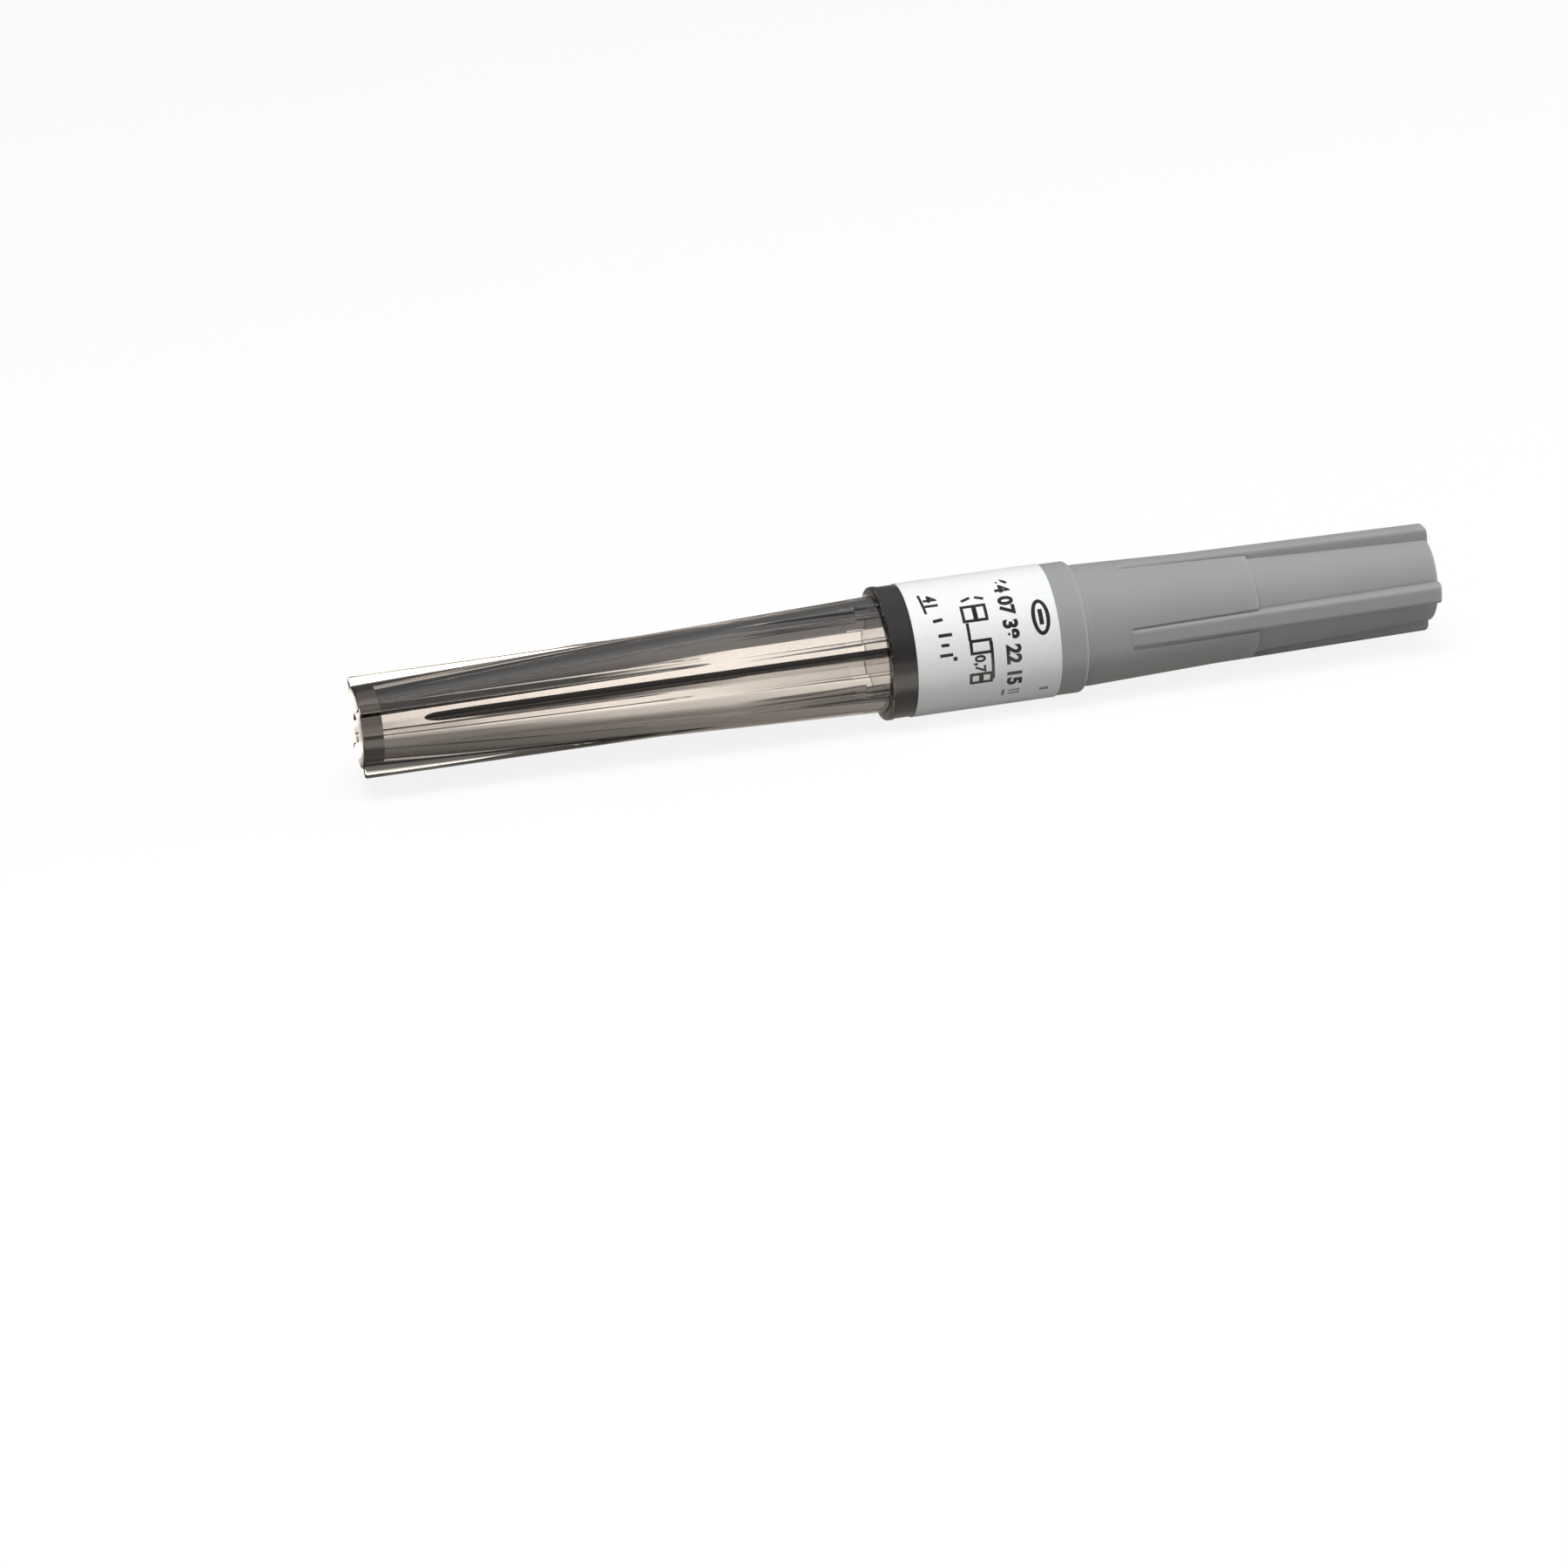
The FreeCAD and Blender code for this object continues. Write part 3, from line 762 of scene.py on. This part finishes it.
camera = {
    "location": (-0.09118, -0.38653, 0.15895),
    "forward": (0.19091, 0.90425, -0.38196),
    "up": (0.14132, 0.35975, 0.92229),
    "lens": 130.0, "sensor": 36.0,
}

makeShield(smokyPolystyrene())
makeCap(greyPolypropylene())
makeLabel(labelPaper(), labelBackShade())
makePrint("labelPrint", blackInk(), printMarks["bars"], printMarks["fields"],
          printMarks["digits"], printMarks["ring"])
makePrint("faintPrint", greyInk(), printMarks["faint"])
makeNeedle(drawnStainless())

finishes = {
    "needle_hub": naturalPolypropylene(), "hub_adhesive": curedEpoxy(),
    "rubber_sleeve": mouldedRubber(),
}
for node, material in finishes.items():
    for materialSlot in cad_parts[node].material_slots:
        materialSlot.material = material
print("materials on the hidden pieces set")


def rayShare(tree, names):
    # 1 for a ray of any of those kinds
    light = addNode(tree, "ShaderNodeLightPath")
    share = light.outputs[names[0]]
    for name in names[1:]:
        share = addNode(tree, "ShaderNodeMath", {"operation": "MAXIMUM"},
                        {0: share, 1: light.outputs[name]}).outputs[0]
    return share


studio = {
    "floorSize": 1.6, "floorGlow": 0.86, "floorGrey": 0.3, "floorWhite": 0.97,
    "paintedGlowTint": "fff4e7", "mirrorShare": 0.75, "paintedGlowReach": 60.0,
    # painted light: how bright the floor glows in the clear plastic, by its distance behind the case in
    # mm, given at five stations along the shield; bright strips paint the shield's cream window, dim
    # strips paint its dark bands, the shade under the case and the needle's dark line
    "paintedGlowPool": {
        2: [(-60, 1.0), (-21, 1.0), (-17, 3.2), (-9, 3.2), (-7, 0.9), (-3, 0.7), (-1, 0.45),
            (4.2, 0.15), (5, 1.2), (6, 1.3), (6.8, 3.4), (8.7, 3.4), (9.6, 2.2), (12.5, 2.2),
            (14.5, 3.3), (21.5, 3.3), (24, 0.1), (60, 0.2)],
        8: [(-60, 1.0), (-21, 1.0), (-17, 3.2), (-9, 3.2), (-7, 0.9), (-3, 0.7), (-1, 0.45),
            (4.2, 0.15), (5, 1.0), (6, 1.1), (6.8, 2.6), (8.7, 2.8), (9.6, 3.1), (12.5, 3.1),
            (14.5, 3.3), (21.5, 3.3), (24, 0.1), (60, 0.2)],
        11: [(-60, 1.0), (-21, 1.0), (-17, 3.2), (-9, 3.2), (-7, 0.9), (-3, 0.7), (-1, 0.45),
            (4.2, 0.15), (5, 1.2), (6, 1.3), (6.8, 3.4), (8.7, 3.4), (9.6, 0.3), (12.5, 0.3),
            (14.5, 3.3), (21.5, 3.3), (24, 0.1), (60, 0.2)],
        20: [(-60, 1.0), (-21, 1.0), (-17, 3.2), (-9, 3.2), (-7, 0.9), (-3, 0.7), (-1, 0.4),
             (2.5, 0.4), (4, 1.4), (5.8, 1.4), (6.6, 3.2), (8.8, 3.2), (9.8, 0.15), (12.5, 0.15),
             (14, 3.2), (21, 3.2), (23, 0.1), (60, 0.2)],
        31: [(-60, 1.2), (-21, 1.0), (-17, 2.5), (-9, 2.5), (-7, 0.7), (-3, 0.6), (-1, 0.5),
             (2, 0.6), (3.5, 1.3), (5.8, 1.4), (6.6, 2.0), (9, 2.0), (9.8, 1.4), (12.5, 1.4),
             (14, 2.8), (26, 2.8), (29, 0.45), (60, 0.45)],
    },
    "ambient": 0.27, "ceiling": (0.22, 0.5), "ceilingRise": (0.4, 0.8),
    "keyPower": 1.6, "keySize": (0.34, 0.22), "keyPlace": (-0.06, -0.116, 0.45),
    "fillPower": 0.33, "fillSize": (0.3, 0.3), "fillPlace": (-0.35, -0.4, 0.2),
    "rimPower": 1.45, "rimSize": (0.2, 0.2), "rimPlace": (0.45, -0.04, 0.1),
}


def makeFloor():
    # pale sweep: white to the camera with the case's soft shadow kept; in the plastic and in
    # reflections it glows as painted light, strips of bright glow and painted shade placed round the
    # case by station, falling off to a dim room
    material, tree = newMaterial("paleSweep")
    seen = rayShare(tree, ["Is Camera Ray"])
    mirrored = rayShare(tree, ["Is Glossy Ray", "Is Transmission Ray"])
    coords = addNode(tree, "ShaderNodeTexCoord")
    parts = addNode(tree, "ShaderNodeSeparateXYZ", None, {0: coords.outputs["Object"]})
    reach = studio["paintedGlowReach"]
    across = addNode(tree, "ShaderNodeMapRange", {"From Min": -reach * mm, "From Max": reach * mm},
                     {"Value": parts.outputs["Y"]})
    brightest = max(level for stops in studio["paintedGlowPool"].values() for _, level in stops)
    level, lastStation = None, 0
    for station, stops in studio["paintedGlowPool"].items():
        ramp = addNode(tree, "ShaderNodeValToRGB", None, {0: across.outputs["Result"]})
        elements = ramp.color_ramp.elements
        elements.remove(elements[1])
        for index, (distance, value) in enumerate(stops):
            spot = (distance + reach) / (2 * reach)
            element = elements[0] if index == 0 else elements.new(spot)
            element.position = spot
            element.color = (value / brightest,) * 3 + (1,)
        if level is None:
            level = ramp.outputs["Color"]
        else:
            along = addNode(tree, "ShaderNodeMapRange", {
                "From Min": tipPlace + lastStation * mm, "From Max": tipPlace + station * mm},
                {"Value": parts.outputs["X"]})
            level = addNode(tree, "ShaderNodeMix", {"data_type": "FLOAT"}, {
                0: along.outputs["Result"], 2: level, 3: ramp.outputs["Color"]}).outputs[0]
        lastStation = station
    # a ray that passed through plastic counts as both kinds, a plain reflection only as glossy
    inMirror = addNode(tree, "ShaderNodeMapRange", {
        "To Min": brightest * studio["mirrorShare"], "To Max": brightest},
        {"Value": rayShare(tree, ["Is Transmission Ray"])})
    level = addNode(tree, "ShaderNodeMath", {"operation": "MULTIPLY"},
                    {0: level, 1: inMirror.outputs["Result"]})
    # painted light: the glow's tint and strength, seen only in the plastic and in reflections
    paintedGlowPool = addNode(tree, "ShaderNodeVectorMath", {
        "operation": "SCALE", 0: linear(studio["paintedGlowTint"])[:3]}, {"Scale": level.outputs[0]})
    grey = addNode(tree, "ShaderNodeMix", {
        "data_type": "FLOAT", 2: studio["floorGrey"], 3: studio["floorWhite"]}, {0: seen})
    matt = addNode(tree, "ShaderNodeBsdfDiffuse", None, {"Color": grey.outputs[0]})
    colour = addNode(tree, "ShaderNodeMix", {"data_type": "VECTOR"},
                     {0: seen, 4: paintedGlowPool.outputs[0]})
    colour.inputs[5].default_value = (1, 1, 1)
    glow = addNode(tree, "ShaderNodeEmission", {"Strength": 1.0}, {"Color": colour.outputs[1]})
    share = addNode(tree, "ShaderNodeMath", {"operation": "MULTIPLY_ADD", 1: studio["floorGlow"]},
                    {0: seen, 2: mirrored})
    mixed = addNode(tree, "ShaderNodeMixShader", None, {
        0: share.outputs[0], 1: matt.outputs["BSDF"], 2: glow.outputs["Emission"]})
    addNode(tree, "ShaderNodeOutputMaterial", None, {"Surface": mixed.outputs["Shader"]})
    bm = bmesh.new()
    bmesh.ops.create_grid(bm, x_segments=1, y_segments=1, size=studio["floorSize"] / 2)
    mesh = bpy.data.meshes.new("floor")
    bm.to_mesh(mesh)
    bm.free()
    mesh.materials.append(material)
    floor = bpy.data.objects.new("floor", mesh)
    bpy.context.scene.collection.objects.link(floor)


def makeWorld():
    # plain studio: white to the camera, dim in the plastic and in reflections
    world = bpy.data.worlds.new("studio")
    world.use_nodes = True
    bpy.context.scene.world = world
    tree = world.node_tree
    tree.nodes.clear()
    seenThrough = rayShare(tree, ["Is Glossy Ray", "Is Transmission Ray"])
    cameraRay = rayShare(tree, ["Is Camera Ray"])
    coords = addNode(tree, "ShaderNodeTexCoord")
    parts = addNode(tree, "ShaderNodeSeparateXYZ", None, {0: coords.outputs["Generated"]})
    rise, ceiling = studio["ceilingRise"], studio["ceiling"]
    overhead = addNode(tree, "ShaderNodeMapRange", {
        "From Min": rise[0], "From Max": rise[1], "To Min": ceiling[0], "To Max": ceiling[1]},
        {"Value": parts.outputs["Z"]})
    room = addNode(tree, "ShaderNodeMix", {"data_type": "FLOAT", 2: studio["ambient"]},
                   {0: seenThrough, 3: overhead.outputs["Result"]})
    strength = addNode(tree, "ShaderNodeMix", {"data_type": "FLOAT", 3: 1.0},
                       {0: cameraRay, 2: room.outputs[0]})
    back = addNode(tree, "ShaderNodeBackground", {"Color": (1, 1, 1, 1)},
                   {"Strength": strength.outputs[0]})
    addNode(tree, "ShaderNodeOutputWorld", None, {"Surface": back.outputs["Background"]})


def addSoftbox(name):
    # a softbox aimed at the case, kept out of the clear plastic and of reflections
    lamp = bpy.data.lights.new(name + "Softbox", "AREA")
    lamp.energy = studio[name + "Power"]
    lamp.shape = "RECTANGLE"
    lamp.size, lamp.size_y = studio[name + "Size"]
    item = bpy.data.objects.new(name + "Softbox", lamp)
    spot = Vector(studio[name + "Place"])
    item.location = spot
    item.rotation_euler = (-spot).to_track_quat("-Z", "Y").to_euler()
    item.visible_transmission = False
    item.visible_glossy = False
    bpy.context.scene.collection.objects.link(item)


def makeCamera():
    forward = Vector(camera["forward"]).normalized()
    right = forward.cross(Vector(camera["up"])).normalized()
    up = right.cross(forward)
    turn = Matrix((right, up, -forward)).transposed().to_4x4()
    lens = bpy.data.cameras.new("camera")
    lens.lens = camera["lens"]
    lens.sensor_width = camera["sensor"]
    lens.clip_start = 0.01
    eye = bpy.data.objects.new("camera", lens)
    eye.matrix_world = Matrix.Translation(camera["location"]) @ turn
    bpy.context.scene.collection.objects.link(eye)
    bpy.context.scene.camera = eye


makeFloor()
makeWorld()
for name in ("key", "fill", "rim"):
    addSoftbox(name)
makeCamera()
bpy.context.scene.view_settings.view_transform = "Standard"
print("floor, lights and camera set")
